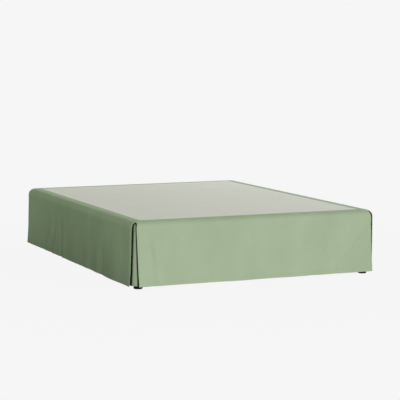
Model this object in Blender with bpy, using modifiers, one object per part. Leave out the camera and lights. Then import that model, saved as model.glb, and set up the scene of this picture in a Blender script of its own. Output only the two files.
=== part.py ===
"""Tailored bed skirt with a kick pleat at each corner, on a plain slatted bed base.

Metres, +Z up. X runs across the bed, Y along it, and the foot end faces -Y.
The origin is on the floor, under the middle of the bed.

Places on the skirt are given by side. A path runs along each side from its middle,
and turns round the corner on an arc as far as the mitre, where the next side starts.
"""

import math
from collections import namedtuple

import bmesh
import bpy

# ---- driving sizes ----
HEM_WIDTH = 1.575
HEM_LENGTH = 2.083
DROP = 0.369
FLOOR_GAP = 0.0185
HEM_SPREAD = 0.006
GAP = 0.0003

# ---- cloth ----
CLOTH = 0.002
FLAP_CLOTH = 0.0015
BORDER = 0.080
CORNER_RADIUS = 0.054
EDGE_RADIUS = 0.042
MITRE_GAP = 0.0004
DECK_GAP = 0.0006

# The kick pleat opens as an arch, then widens evenly down to the hem.
APEX_ANGLE = math.radians(24.0)
ARCH_HEIGHT = 0.027
ARCH_POWER = 0.7
KICK_POWER = 3.0

# Over this depth below the arch's top a panel's end leaves the corner's turn and hangs flatter.
BEND_DEPTH = 0.020

# A fold reaches its whole depth over this part of the drop.
FOLD_RISE = 0.50

# The flap starts under the panels, above the arch, leaves them quickly and hangs behind them.
FLAP_TOP_ANGLE = math.radians(16.0)
FLAP_REACH = 0.120
FLAP_TOP_GAP = 0.0006
FLAP_GAP = 0.008
LEAVE_POWER = 0.6
FLAP_KICK = 0.004
FLAP_LIFT = 0.003

# ---- bed base ----
STANDOFF = 0.0125
POST = 0.085
RAIL_THICKNESS = 0.048
RAIL_HEIGHT = 0.120
BASE_EDGE_RADIUS = 0.042
BASE_CORNER_RADIUS = 0.047
LEDGER = 0.030
SLAT_COUNT = 11
SLAT_WIDTH = 0.090
SLAT_THICKNESS = 0.018
SLAT_SPAN = 1.720
BEAM_WIDTH = 0.045
BEAM_HEIGHT = 0.090
LEG = 0.060
LEG_PLACE = 0.450
GLIDE_RADIUS = 0.026
GLIDE_HEIGHT = 0.027
GLIDE_BEVEL = 0.004

# ---- mesh fineness ----
EDGE_ANGLES = [math.radians(a) for a in (0.0, 16.0, 24.0, 35.0, 50.0, 70.0, 90.0)]
DROP_ROWS = 6
END_ZONE = 0.100
END_COLUMNS = 8
SHOWN_PITCH = 0.032
HIDDEN_PITCH = 0.055
FLAP_ARC_COLUMNS = 6
FLAP_FLAT_COLUMNS = 3
FLAP_DROP_ROWS = 3
BASE_SEGMENTS = 5
GLIDE_SIDES = 28
GLIDE_SEGMENTS = 2
SMOOTH_ANGLE = math.radians(40.0)

# A face looks along an axis when its normal has this share of it.
FACING = 0.9

# ---- worked-out sizes ----
HALF_WIDTH = HEM_WIDTH / 2 - HEM_SPREAD
HALF_LENGTH = HEM_LENGTH / 2 - HEM_SPREAD
TOP_Z = FLOOR_GAP + DROP
BASE_TOP = TOP_Z - CLOTH - GAP
BASE_INSET = CLOTH + STANDOFF
BASE_X = HALF_WIDTH - BASE_INSET
BASE_Y = HALF_LENGTH - BASE_INSET
SLAT_BOTTOM = BASE_TOP - SLAT_THICKNESS
QUARTER = math.pi / 2

# Each side runs counter-clockwise, seen from above, from its start corner to its end one.
Side = namedtuple("Side", "name turns half_run half_depth pitch start end")
SIDES = (
    Side("foot", 0, HALF_WIDTH, HALF_LENGTH, SHOWN_PITCH, "foot_left", "foot_right"),
    Side("right", 1, HALF_LENGTH, HALF_WIDTH, HIDDEN_PITCH, "foot_right", "head_right"),
    Side("head", 2, HALF_WIDTH, HALF_LENGTH, HIDDEN_PITCH, "head_right", "head_left"),
    Side("left", 3, HALF_LENGTH, HALF_WIDTH, SHOWN_PITCH, "head_left", "foot_left"),
)

# How far each panel's edge stands back from the mitre under the arch and at the hem,
# how far its hem kicks out there, and what share of the corner's turn it keeps when it hangs.
Lip = namedtuple("Lip", "arch hem kick bend")
LIPS = {
    ("foot", "foot_left"): Lip(0.0165, 0.0290, 0.0075, 0.50),
    ("left", "foot_left"): Lip(0.0048, 0.0205, 0.0075, 0.40),
    ("foot", "foot_right"): Lip(0.0160, 0.0085, 0.0095, 0.85),
    ("right", "foot_right"): Lip(0.0090, 0.0320, 0.0015, 1.00),
    ("right", "head_right"): Lip(0.0085, 0.0230, 0.0040, 0.80),
    ("head", "head_right"): Lip(0.0120, 0.0200, 0.0050, 0.70),
    ("head", "head_left"): Lip(0.0100, 0.0215, 0.0060, 0.65),
    ("left", "head_left"): Lip(0.0080, 0.0240, 0.0105, 1.00),
}

# A fold's place on its side at the hem, how far its top lies along from there, its width,
# its depth (out is positive), the part of the drop where it fades in, and the share of its
# depth that is left at the hem.
Fold = namedtuple("Fold", "side place lean width depth start hem")
FOLDS = (
    Fold("foot", -0.725, 0.000, 0.110, 0.0030, 0.00, 1.0),
    Fold("foot", -0.651, -0.032, 0.070, -0.0085, 0.00, 0.3),
    Fold("foot", -0.617, -0.032, 0.070, 0.0064, 0.00, 0.3),
    Fold("foot", -0.430, -0.020, 0.200, -0.0040, 0.20, 0.6),
    Fold("foot", -0.270, 0.030, 0.180, -0.0046, 0.30, 0.6),
    Fold("foot", -0.115, 0.000, 0.260, 0.0100, 0.00, 1.0),
    Fold("foot", 0.110, 0.020, 0.140, -0.0030, 0.30, 0.8),
    Fold("foot", 0.240, 0.020, 0.260, 0.0060, 0.10, 0.8),
    Fold("foot", 0.350, 0.138, 0.075, -0.0062, 0.10, 1.0),
    Fold("foot", 0.515, 0.275, 0.080, -0.0080, 0.00, 0.8),
    Fold("foot", 0.640, 0.060, 0.120, 0.0024, 0.30, 0.8),
    Fold("left", -0.900, 0.000, 0.500, 0.0040, 0.00, 1.0),
    Fold("left", -0.632, 0.180, 0.095, -0.0040, 0.15, 0.6),
    Fold("left", -0.568, 0.180, 0.095, 0.0036, 0.15, 0.6),
    Fold("left", -0.468, 0.120, 0.090, -0.0064, 0.10, 0.5),
    Fold("left", -0.408, 0.120, 0.090, 0.0044, 0.15, 0.5),
    Fold("left", -0.258, -0.010, 0.090, -0.0080, 0.15, 0.5),
    Fold("left", -0.205, -0.010, 0.090, 0.0048, 0.20, 0.5),
    Fold("left", -0.040, 0.030, 0.320, 0.0026, 0.20, 0.8),
    Fold("left", 0.170, 0.000, 0.110, -0.0024, 0.30, 0.7),
    Fold("left", 0.330, 0.020, 0.140, -0.0030, 0.25, 0.8),
    Fold("left", 0.440, 0.000, 0.110, 0.0022, 0.30, 1.0),
    Fold("left", 0.534, 0.010, 0.110, -0.0030, 0.35, 1.0),
    Fold("left", 0.720, 0.000, 0.440, 0.0062, 0.00, 1.0),
    Fold("right", -0.620, 0.030, 0.260, -0.0050, 0.20, 1.0),
    Fold("right", -0.430, 0.000, 0.160, 0.0042, 0.20, 1.0),
    Fold("right", -0.310, -0.010, 0.140, -0.0052, 0.25, 0.8),
    Fold("right", 0.060, -0.040, 0.260, -0.0055, 0.20, 1.0),
    Fold("right", 0.340, 0.020, 0.220, 0.0044, 0.30, 1.0),
    Fold("right", 0.640, 0.000, 0.240, -0.0050, 0.25, 0.8),
    Fold("head", -0.420, 0.020, 0.240, -0.0052, 0.20, 1.0),
    Fold("head", -0.180, 0.000, 0.200, 0.0044, 0.25, 1.0),
    Fold("head", 0.110, -0.020, 0.180, -0.0040, 0.30, 0.7),
    Fold("head", 0.360, -0.060, 0.220, -0.0052, 0.20, 1.0),
)

# A row of cloth lies outside or inside the top's outline by its offset. Its depth is the
# path from the top edge down to it, and its fall goes from 0 under the edge to 1 at the hem.
Row = namedtuple("Row", "offset z depth fall")

# name: colour, roughness, metallic
MATERIALS = {
    "skirt_cloth": ((0.335, 0.425, 0.285, 1.0), 0.90, 0.0),
    "flap_cloth": ((0.315, 0.400, 0.268, 1.0), 0.90, 0.0),
    "deck_cloth": ((0.780, 0.760, 0.700, 1.0), 0.92, 0.0),
    "pine": ((0.620, 0.430, 0.250, 1.0), 0.60, 0.0),
    "glide_black": ((0.015, 0.015, 0.016, 1.0), 0.45, 0.0),
}


def clear_scene():
    for thing in list(bpy.data.objects):
        bpy.data.objects.remove(thing, do_unlink=True)


def make_collection(name):
    collection = bpy.data.collections.new(name)
    bpy.context.scene.collection.children.link(collection)
    return collection


def make_material(name, look):
    colour, roughness, metallic = MATERIALS[look]
    material = bpy.data.materials.new(name)
    material.use_nodes = True
    shader = material.node_tree.nodes["Principled BSDF"]
    shader.inputs["Base Color"].default_value = colour
    shader.inputs["Roughness"].default_value = roughness
    shader.inputs["Metallic"].default_value = metallic
    material.diffuse_color = colour
    return material


def add_object(name, mesh, look, collection):
    """Link a mesh as one piece of the part, with a material of its own."""
    mesh.materials.append(make_material(name, look))
    piece = bpy.data.objects.new(name, mesh)
    collection.objects.link(piece)
    return piece


# ---- the skirt's shape ----

def cloth_rows():
    """The rows of a panel: the border's inner line, the rounded edge and the drop."""
    rows = [Row(-BORDER, TOP_Z, 0.0, 0.0)]
    for angle in EDGE_ANGLES:
        offset = -EDGE_RADIUS * (1 - math.sin(angle))
        height = TOP_Z - EDGE_RADIUS * (1 - math.cos(angle))
        rows.append(Row(offset, height, EDGE_RADIUS * angle, 0.0))
    for step in range(1, DROP_ROWS + 1):
        fall = step / DROP_ROWS
        length = (DROP - EDGE_RADIUS) * fall
        rows.append(Row(0.0, TOP_Z - EDGE_RADIUS - length, EDGE_RADIUS * QUARTER + length, fall))
    return rows


def lip_setback(lip, row):
    """How far a panel's edge stands back from the mitre at a row."""
    arch_start = EDGE_RADIUS * APEX_ANGLE
    below = row.depth - arch_start
    if below <= 0:
        return MITRE_GAP
    if below < ARCH_HEIGHT:
        share = 1 - below / ARCH_HEIGHT
        return MITRE_GAP + (lip.arch - MITRE_GAP) * (1 - share * share) ** ARCH_POWER
    whole = EDGE_RADIUS * QUARTER + DROP - EDGE_RADIUS - arch_start - ARCH_HEIGHT
    return lip.arch + (lip.hem - lip.arch) * (below - ARCH_HEIGHT) / whole


def path_end(side, row, setback):
    """Length of the path from a side's middle to its edge at a row.

    On the arc the path is measured at the corner's own radius.
    """
    radius = CORNER_RADIUS + row.offset
    if radius <= 0:
        return side.half_run + row.offset - setback * math.sqrt(2)
    return side.half_run - CORNER_RADIUS + CORNER_RADIUS * (math.pi / 4 - setback / radius)


def plan_point(side, path, offset, bend=1.0):
    """Place of a path length on a side's outline, moved out by an offset.

    A bend under 1 opens the arc, so that the same length turns by less.
    """
    straight = side.half_run - CORNER_RADIUS
    along = path
    out = side.half_depth + offset
    if abs(path) > straight and CORNER_RADIUS + offset > 0:
        angle = bend * (abs(path) - straight) / CORNER_RADIUS
        radius = (CORNER_RADIUS + offset) / bend
        along = math.copysign(straight + radius * math.sin(angle), path)
        out -= radius * (1 - math.cos(angle))
    turn = QUARTER * side.turns
    x = along * math.cos(turn) + out * math.sin(turn)
    y = along * math.sin(turn) - out * math.cos(turn)
    return x, y


def ease(value):
    """Rise smoothly from 0 to 1."""
    value = min(max(value, 0.0), 1.0)
    return value * value * (3 - 2 * value)


def fold_depth(side, path, fall):
    """Sum of the folds of a side at a point of its drop."""
    total = 0.0
    for fold in FOLDS:
        if fold.side != side.name:
            continue
        centre = fold.place + fold.lean * (1 - fall)
        reach = abs(path - centre) / (fold.width / 2)
        if reach < 1:
            shape = (1 + math.cos(math.pi * reach)) / 2
            rise = ease((fall - fold.start) / FOLD_RISE)
            total += fold.depth * shape * rise * (1 - (1 - fold.hem) * ease(fall))
    return total


def kick(side, path, fall):
    """How far the drop stands outside the top's outline, folds included."""
    start = LIPS[side.name, side.start].kick
    end = LIPS[side.name, side.end].kick
    share = min(max(0.5 + path / (2 * side.half_run), 0.0), 1.0)
    return (start + (end - start) * share) * fall ** KICK_POWER + fold_depth(side, path, fall)


def end_bend(side, path, depth):
    """Share of the corner's turn that a panel's end keeps at a depth."""
    corner = side.start if path < 0 else side.end
    freed = ease((depth - EDGE_RADIUS * APEX_ANGLE) / BEND_DEPTH)
    return 1 - (1 - LIPS[side.name, corner].bend) * freed


def panel_paths(side, row):
    """Path lengths of a panel's columns at a row, from its start edge to its end edge."""
    reach = side.half_run - END_ZONE
    columns = round(2 * reach / side.pitch)
    paths = [reach * (2 * column / columns - 1) for column in range(columns + 1)]
    start = path_end(side, row, lip_setback(LIPS[side.name, side.start], row))
    end = path_end(side, row, lip_setback(LIPS[side.name, side.end], row))
    before = [-reach - (start - reach) * step / END_COLUMNS for step in range(END_COLUMNS, 0, -1)]
    after = [reach + (end - reach) * step / END_COLUMNS for step in range(1, END_COLUMNS + 1)]
    return before + paths + after


def sheet_from_rows(name, rows, thickness, look, collection):
    """Skin a grid of points, listed row by row from the top, and thicken it inwards."""
    points = [point for row in rows for point in row]
    width = len(rows[0])
    faces = []
    for upper in range(len(rows) - 1):
        for column in range(width - 1):
            corner = upper * width + column
            faces.append((corner, corner + width, corner + width + 1, corner + 1))
    mesh = bpy.data.meshes.new(name)
    mesh.from_pydata(points, [], faces)
    mesh.shade_smooth()
    sheet = add_object(name, mesh, look, collection)
    solid = sheet.modifiers.new("Thickness", "SOLIDIFY")
    solid.thickness = thickness
    solid.offset = -1.0
    solid.use_even_offset = True
    return sheet


def build_panel(side, collection):
    """One side of the skirt, from the border on top down to the hem."""
    rows = []
    for row in cloth_rows():
        points = []
        for path in panel_paths(side, row):
            offset = row.offset + kick(side, path, row.fall)
            bend = end_bend(side, path, row.depth)
            points.append((*plan_point(side, path, offset, bend), row.z))
        rows.append(points)
    sheet_from_rows("panel_" + side.name, rows, CLOTH, "skirt_cloth", collection)


def flap_rows():
    """The rows of a flap: it leaves the panels as it comes over the edge, then hangs down."""
    rows = []
    for angle in EDGE_ANGLES:
        if angle < FLAP_TOP_ANGLE:
            continue
        share = (angle - FLAP_TOP_ANGLE) / (QUARTER - FLAP_TOP_ANGLE)
        inward = CLOTH + FLAP_TOP_GAP + (FLAP_GAP - FLAP_TOP_GAP) * share ** LEAVE_POWER
        radius = EDGE_RADIUS - inward
        offset = radius * math.sin(angle) - EDGE_RADIUS
        rows.append(Row(offset, TOP_Z - EDGE_RADIUS + radius * math.cos(angle), 0.0, 0.0))
    for step in range(1, FLAP_DROP_ROWS + 1):
        fall = step / FLAP_DROP_ROWS
        height = TOP_Z - EDGE_RADIUS - (DROP - EDGE_RADIUS - FLAP_LIFT) * fall
        offset = -CLOTH - FLAP_GAP + FLAP_KICK * fall ** KICK_POWER
        rows.append(Row(offset, height, 0.0, fall))
    return rows


def flap_steps():
    """Distances of a flap's columns from the mitre, along one side of it."""
    arc = CORNER_RADIUS * math.pi / 4
    half = FLAP_ARC_COLUMNS // 2
    steps = [arc * step / half for step in range(half + 1)]
    flat = FLAP_REACH - arc
    steps += [arc + flat * step / FLAP_FLAT_COLUMNS for step in range(1, FLAP_FLAT_COLUMNS + 1)]
    return steps


def build_flap(before, after, collection):
    """The flap behind a kick pleat, round the corner where one side ends and the next starts."""
    steps = flap_steps()
    rows = []
    for row in flap_rows():
        points = []
        for side, sign, distances in ((before, 1, steps[:0:-1]), (after, -1, steps)):
            mitre = side.half_run - CORNER_RADIUS + CORNER_RADIUS * math.pi / 4
            for distance in distances:
                points.append((*plan_point(side, sign * (mitre - distance), row.offset), row.z))
        rows.append(points)
    sheet_from_rows("kick_" + after.start, rows, FLAP_CLOTH, "flap_cloth", collection)


def build_deck(collection):
    """The flat sheet inside the borders."""
    inset = BORDER + DECK_GAP
    size = (2 * (HALF_WIDTH - inset), 2 * (HALF_LENGTH - inset), CLOTH)
    build_block("deck", size, (0.0, 0.0, TOP_Z - CLOTH / 2), "deck_cloth", collection)


# ---- the bed base ----

def block_shape(size, centre):
    """A box as a bmesh, at its place."""
    shape = bmesh.new()
    bmesh.ops.create_cube(shape, size=1.0)
    bmesh.ops.scale(shape, vec=size, verts=shape.verts)
    bmesh.ops.translate(shape, vec=centre, verts=shape.verts)
    return shape


def finish_mesh(name, shape, look, collection):
    mesh = bpy.data.meshes.new(name)
    shape.to_mesh(mesh)
    shape.free()
    return add_object(name, mesh, look, collection)


def build_block(name, size, centre, look, collection):
    return finish_mesh(name, block_shape(size, centre), look, collection)


def faces_outward(face, directions):
    """True for an upright face that looks towards one of the directions."""
    if abs(face.normal.z) > FACING:
        return False
    return any(face.normal.x * x + face.normal.y * y > 1 - FACING for x, y in directions)


def round_edges(shape, edges, radius):
    bmesh.ops.bevel(
        shape, geom=edges, offset=radius, segments=BASE_SEGMENTS, profile=0.5,
        affect="EDGES", clamp_overlap=False,
    )
    shape.normal_update()


def build_rounded(name, size, centre, directions, collection):
    """A timber whose outer upright edge and outer top edges are rounded for the cloth."""
    shape = block_shape(size, centre)
    shape.normal_update()
    upright = [
        edge for edge in shape.edges
        if all(faces_outward(face, directions) for face in edge.link_faces)
    ]
    if upright:
        round_edges(shape, upright, BASE_CORNER_RADIUS)
    top = [
        edge for edge in shape.edges
        if any(face.normal.z > FACING for face in edge.link_faces)
        and any(faces_outward(face, directions) for face in edge.link_faces)
    ]
    round_edges(shape, top, BASE_EDGE_RADIUS)
    finish_mesh(name, shape, "pine", collection)


def build_posts(collection):
    height = BASE_TOP - GLIDE_HEIGHT
    for end, y_sign in (("foot", -1), ("head", 1)):
        for hand, x_sign in (("left", -1), ("right", 1)):
            centre = (
                x_sign * (BASE_X - POST / 2),
                y_sign * (BASE_Y - POST / 2),
                GLIDE_HEIGHT + height / 2,
            )
            outward = ((x_sign, 0), (0, y_sign))
            build_rounded(f"post_{end}_{hand}", (POST, POST, height), centre, outward, collection)
            build_glide(f"glide_{end}_{hand}", centre[0], centre[1], collection)


def build_glide(name, x, y, collection):
    """A round glide under a post, with its lower rim rounded."""
    height = GLIDE_HEIGHT - GAP
    shape = bmesh.new()
    bmesh.ops.create_cone(
        shape, cap_ends=True, segments=GLIDE_SIDES,
        radius1=GLIDE_RADIUS, radius2=GLIDE_RADIUS, depth=height,
    )
    bmesh.ops.translate(shape, vec=(x, y, height / 2), verts=shape.verts)
    shape.normal_update()
    rim = [edge for edge in shape.edges if all(vert.co.z < GAP for vert in edge.verts)]
    bmesh.ops.bevel(
        shape, geom=rim, offset=GLIDE_BEVEL, segments=GLIDE_SEGMENTS, profile=0.5, affect="EDGES",
    )
    glide = finish_mesh(name, shape, "glide_black", collection)
    glide.data.shade_smooth()
    glide.data.set_sharp_from_angle(angle=SMOOTH_ANGLE)


def build_rails(collection):
    """Rails between the posts, flush with them outside and on top."""
    z = BASE_TOP - RAIL_HEIGHT / 2
    across = 2 * (BASE_X - POST - GAP)
    along = 2 * (BASE_Y - POST - GAP)
    x = BASE_X - RAIL_THICKNESS / 2
    y = BASE_Y - RAIL_THICKNESS / 2
    for name, sign in (("rail_foot", -1), ("rail_head", 1)):
        size = (across, RAIL_THICKNESS, RAIL_HEIGHT)
        build_rounded(name, size, (0.0, sign * y, z), ((0, sign),), collection)
    for name, sign in (("rail_left", -1), ("rail_right", 1)):
        size = (RAIL_THICKNESS, along, RAIL_HEIGHT)
        build_rounded(name, size, (sign * x, 0.0, z), ((sign, 0),), collection)


def build_slats(collection):
    """Slats between the side rails, and the ledgers that carry their ends."""
    inner = BASE_X - RAIL_THICKNESS - GAP
    for name, sign in (("ledger_left", -1), ("ledger_right", 1)):
        size = (LEDGER, 2 * (BASE_Y - POST - GAP), LEDGER)
        centre = (sign * (inner - LEDGER / 2), 0.0, SLAT_BOTTOM - GAP - LEDGER / 2)
        build_block(name, size, centre, "pine", collection)
    for number in range(SLAT_COUNT):
        y = SLAT_SPAN * (number / (SLAT_COUNT - 1) - 0.5)
        size = (2 * inner, SLAT_WIDTH, SLAT_THICKNESS)
        centre = (0.0, y, BASE_TOP - SLAT_THICKNESS / 2)
        build_block(f"slat_{number + 1:02d}", size, centre, "pine", collection)


def build_centre(collection):
    """The beam under the middle of the slats and the two legs that hold it up."""
    beam_top = SLAT_BOTTOM - GAP
    length = 2 * (BASE_Y - RAIL_THICKNESS - GAP)
    size = (BEAM_WIDTH, length, BEAM_HEIGHT)
    build_block("centre_beam", size, (0.0, 0.0, beam_top - BEAM_HEIGHT / 2), "pine", collection)
    height = beam_top - BEAM_HEIGHT - GAP
    for name, sign in (("centre_leg_foot", -1), ("centre_leg_head", 1)):
        centre = (0.0, sign * LEG_PLACE, height / 2)
        build_block(name, (LEG, LEG, height), centre, "pine", collection)


def main():
    clear_scene()
    collection = make_collection("bed_skirt_on_bed_base")
    build_deck(collection)
    for index, side in enumerate(SIDES):
        build_panel(side, collection)
        build_flap(SIDES[index - 1], side, collection)
    build_posts(collection)
    build_rails(collection)
    build_slats(collection)
    build_centre(collection)


main()
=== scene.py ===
"""Looks of the tailored bed skirt on its plain slatted base.

Metres, +Z up. X runs across the bed, Y along it, and the foot end faces -Y.
The cloth is built here as fine sheets in the places of its plain solids. The base and the
glides keep their own solids and get their finish here.

A place on a panel is given by its depth, which is the path down the cloth from where its top
starts to round over, and by its path along the side from the side's middle. A mitre stands
at each corner, where two sides meet.
"""

import math
from collections import namedtuple

import bpy
import numpy as np
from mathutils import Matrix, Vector


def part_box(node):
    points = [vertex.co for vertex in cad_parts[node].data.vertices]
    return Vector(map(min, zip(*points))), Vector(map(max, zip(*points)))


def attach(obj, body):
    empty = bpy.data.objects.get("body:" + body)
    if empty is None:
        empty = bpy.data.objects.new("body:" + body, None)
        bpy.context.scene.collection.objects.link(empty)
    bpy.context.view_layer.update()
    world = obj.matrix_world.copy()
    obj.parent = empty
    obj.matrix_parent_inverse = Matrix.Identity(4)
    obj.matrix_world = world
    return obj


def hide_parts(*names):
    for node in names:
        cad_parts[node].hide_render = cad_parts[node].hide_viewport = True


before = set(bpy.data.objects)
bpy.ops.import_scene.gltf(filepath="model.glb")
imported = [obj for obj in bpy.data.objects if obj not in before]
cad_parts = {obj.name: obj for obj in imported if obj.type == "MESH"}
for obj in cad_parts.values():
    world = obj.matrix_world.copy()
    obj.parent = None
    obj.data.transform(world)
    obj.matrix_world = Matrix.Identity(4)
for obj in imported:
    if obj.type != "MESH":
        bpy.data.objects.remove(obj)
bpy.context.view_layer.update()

QUARTER = math.pi / 2
EIGHTH = math.pi / 4

# ---- sizes shared with the solids ----
HALF_WIDTH = 0.7815
HALF_LENGTH = 1.0355
TOP_Z = 0.3875
DROP = 0.369
BORDER = 0.080
CORNER_RADIUS = 0.054
EDGE_RADIUS = 0.042
APEX_DEPTH = EDGE_RADIUS * math.radians(24.0)
ARCH_HEIGHT = 0.027
ARCH_POWER = 0.7
KICK_POWER = 3.0
BEND_DEPTH = 0.020
FOLD_RISE = 0.50
FLAP_TOP_ANGLE = math.radians(16.0)
FLAP_REACH = 0.120
FLAP_TOP_GAP = 0.0006
FLAP_GAP = 0.008
LEAVE_POWER = 0.6
FLAP_KICK = 0.004
FLAP_LIFT = 0.003
PANEL_SOLID = 0.002
SLAT_PITCH = 0.172

EDGE_LENGTH = EDGE_RADIUS * QUARTER
FALL_LENGTH = DROP - EDGE_RADIUS
FLAP_FALL = FALL_LENGTH - FLAP_LIFT

# Each side runs counter-clockwise, seen from above, from its start corner to its end one.
Side = namedtuple("Side", "name turns half_run half_depth start end")
SIDES = (
    Side("foot", 0, HALF_WIDTH, HALF_LENGTH, "foot_left", "foot_right"),
    Side("right", 1, HALF_LENGTH, HALF_WIDTH, "foot_right", "head_right"),
    Side("head", 2, HALF_WIDTH, HALF_LENGTH, "head_right", "head_left"),
    Side("left", 3, HALF_LENGTH, HALF_WIDTH, "head_left", "foot_left"),
)

# How far each panel's edge stands back from the mitre under the arch and at the hem,
# how far its hem kicks out there, and what share of the corner's turn it keeps when it hangs.
Lip = namedtuple("Lip", "arch hem kick bend")
LIPS = {
    ("foot", "foot_left"): Lip(0.0165, 0.0290, 0.0075, 0.50),
    ("left", "foot_left"): Lip(0.0048, 0.0205, 0.0075, 0.40),
    ("foot", "foot_right"): Lip(0.0160, 0.0085, 0.0095, 0.85),
    ("right", "foot_right"): Lip(0.0090, 0.0320, 0.0015, 1.00),
    ("right", "head_right"): Lip(0.0085, 0.0230, 0.0040, 0.80),
    ("head", "head_right"): Lip(0.0120, 0.0200, 0.0050, 0.70),
    ("head", "head_left"): Lip(0.0100, 0.0215, 0.0060, 0.65),
    ("left", "head_left"): Lip(0.0080, 0.0240, 0.0105, 1.00),
}

# A fold's place on its side at the hem, how far its top lies along from there, its width,
# its depth (out is positive), the part of the drop where it fades in, and the share of its
# depth that is left at the hem.
Fold = namedtuple("Fold", "side place lean width depth start hem")
FOLDS = (
    Fold("foot", -0.725, 0.000, 0.110, 0.0030, 0.00, 1.0),
    Fold("foot", -0.651, -0.032, 0.070, -0.0085, 0.00, 0.3),
    Fold("foot", -0.617, -0.032, 0.070, 0.0064, 0.00, 0.3),
    Fold("foot", -0.430, -0.020, 0.200, -0.0040, 0.20, 0.6),
    Fold("foot", -0.270, 0.030, 0.180, -0.0046, 0.30, 0.6),
    Fold("foot", -0.115, 0.000, 0.260, 0.0100, 0.00, 1.0),
    Fold("foot", 0.110, 0.020, 0.140, -0.0030, 0.30, 0.8),
    Fold("foot", 0.240, 0.020, 0.260, 0.0060, 0.10, 0.8),
    Fold("foot", 0.350, 0.138, 0.075, -0.0062, 0.10, 1.0),
    Fold("foot", 0.515, 0.275, 0.080, -0.0080, 0.00, 0.8),
    Fold("foot", 0.640, 0.060, 0.120, 0.0024, 0.30, 0.8),
    Fold("left", -0.900, 0.000, 0.500, 0.0040, 0.00, 1.0),
    Fold("left", -0.632, 0.180, 0.095, -0.0040, 0.15, 0.6),
    Fold("left", -0.568, 0.180, 0.095, 0.0036, 0.15, 0.6),
    Fold("left", -0.468, 0.120, 0.090, -0.0064, 0.10, 0.5),
    Fold("left", -0.408, 0.120, 0.090, 0.0044, 0.15, 0.5),
    Fold("left", -0.258, -0.010, 0.090, -0.0080, 0.15, 0.5),
    Fold("left", -0.205, -0.010, 0.090, 0.0048, 0.20, 0.5),
    Fold("left", -0.040, 0.030, 0.320, 0.0026, 0.20, 0.8),
    Fold("left", 0.170, 0.000, 0.110, -0.0024, 0.30, 0.7),
    Fold("left", 0.330, 0.020, 0.140, -0.0030, 0.25, 0.8),
    Fold("left", 0.440, 0.000, 0.110, 0.0022, 0.30, 1.0),
    Fold("left", 0.534, 0.010, 0.110, -0.0030, 0.35, 1.0),
    Fold("left", 0.720, 0.000, 0.440, 0.0062, 0.00, 1.0),
    Fold("right", -0.620, 0.030, 0.260, -0.0050, 0.20, 1.0),
    Fold("right", -0.430, 0.000, 0.160, 0.0042, 0.20, 1.0),
    Fold("right", -0.310, -0.010, 0.140, -0.0052, 0.25, 0.8),
    Fold("right", 0.060, -0.040, 0.260, -0.0055, 0.20, 1.0),
    Fold("right", 0.340, 0.020, 0.220, 0.0044, 0.30, 1.0),
    Fold("right", 0.640, 0.000, 0.240, -0.0050, 0.25, 0.8),
    Fold("head", -0.420, 0.020, 0.240, -0.0052, 0.20, 1.0),
    Fold("head", -0.180, 0.000, 0.200, 0.0044, 0.25, 1.0),
    Fold("head", 0.110, -0.020, 0.180, -0.0040, 0.30, 0.7),
    Fold("head", 0.360, -0.060, 0.220, -0.0052, 0.20, 1.0),
)

# ---- cloth, as sewn ----
PLY = 0.0011
SHEETING = 0.0010
HEM_PLIES = 0.0024
FLAP_HEM_SHARE = 0.6
HEM_DEPTH = 0.025
SIDE_HEM = 0.0125
HEM_STEP = 0.0012
HEM_STITCH = 0.022
SIDE_STITCH = 0.011
BORDER_STITCH = 0.0030
SEAM_GAP = 0.00008
# Painted shade along the seams: its width on the panels, its share there, and its width along the
# deck's edge.
SEAM_WIDTH = 0.0016
SEAM_SHADE = 0.7
DECK_SEAM_WIDTH = 0.004

# The groove that a row of stitches pulls into the cloth: its depth, and how far it reaches to
# each side of the row at the hem and at the side hems. On the panels the groove also carries
# painted shade over that reach.
GROOVE_DEPTH = 0.00035
HEM_GROOVE = 0.0022
SIDE_GROOVE = 0.0018

# Each stitch is a spindle that swells and bows out of the cloth. A row keeps a margin at its
# ends. The side rows stop clear of the hem's row, which runs on a little over them.
STITCH_PITCH = 0.0034
STITCH_LENGTH = 0.0026
STITCH_RADIUS = 0.00024
STITCH_SIDES = 5
STITCH_SWELL = np.array([0.35, 0.85, 1.0, 0.85, 0.35])
STITCH_BOW = np.array([-0.8, 0.15, 0.5, 0.15, -0.8]) * STITCH_RADIUS
STITCH_MARGIN = 0.002
STITCH_CLEAR = 0.001
STITCH_OVERLAP = 0.0002

# How far a panel's edge stands off its flap beyond the solid, how wide that is, and the depth
# below the arch's top over which it grows.
FLARE = 0.0010
FLARE_WIDTH = 0.030
FLARE_DEPTH = 0.030

# The painted shade in a pleat's pockets, which darkens the flap's colour, starts this far inside
# the edges of the panels before and after it, and fades over these widths on the flap and this
# height under the arch.
POCKET_LEADS = (0.001, -0.0062)
POCKET_FADES = (0.010, 0.005)
POCKET_POWER = 0.7
ARCH_FADE = 0.018

# Small creases: how many there are per metre of a side, their greatest depth and the shares of
# it that they take (out is positive), their lengths and widths, the spread of their lean, a
# power that crowds them towards the ends when it is under 1, how far down the drop their middles
# start, and the depth and the length of the zone where they fade in.
CREASES_PER_METRE = 22
CREASE_DEPTH = 0.0012
CREASE_SHARES = (-1.0, 0.8)
CREASE_LENGTHS = (0.05, 0.16)
CREASE_WIDTHS = (0.010, 0.034)
CREASE_LEAN = 0.28
CREASE_CROWDING = 0.8
CREASE_HIGHEST = 0.02
CREASE_START = -0.005
CREASE_FADE = 0.060

# Waves that grow towards a flap's hem: their number, how far from the mitre they stand, their
# widths and depths, and the spread of their lean.
WAVES = 7
WAVE_REACH = 0.09
WAVE_WIDTHS = (0.012, 0.03)
WAVE_DEPTHS = (-0.0005, 0.0004)
WAVE_LEAN = 0.03

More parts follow.
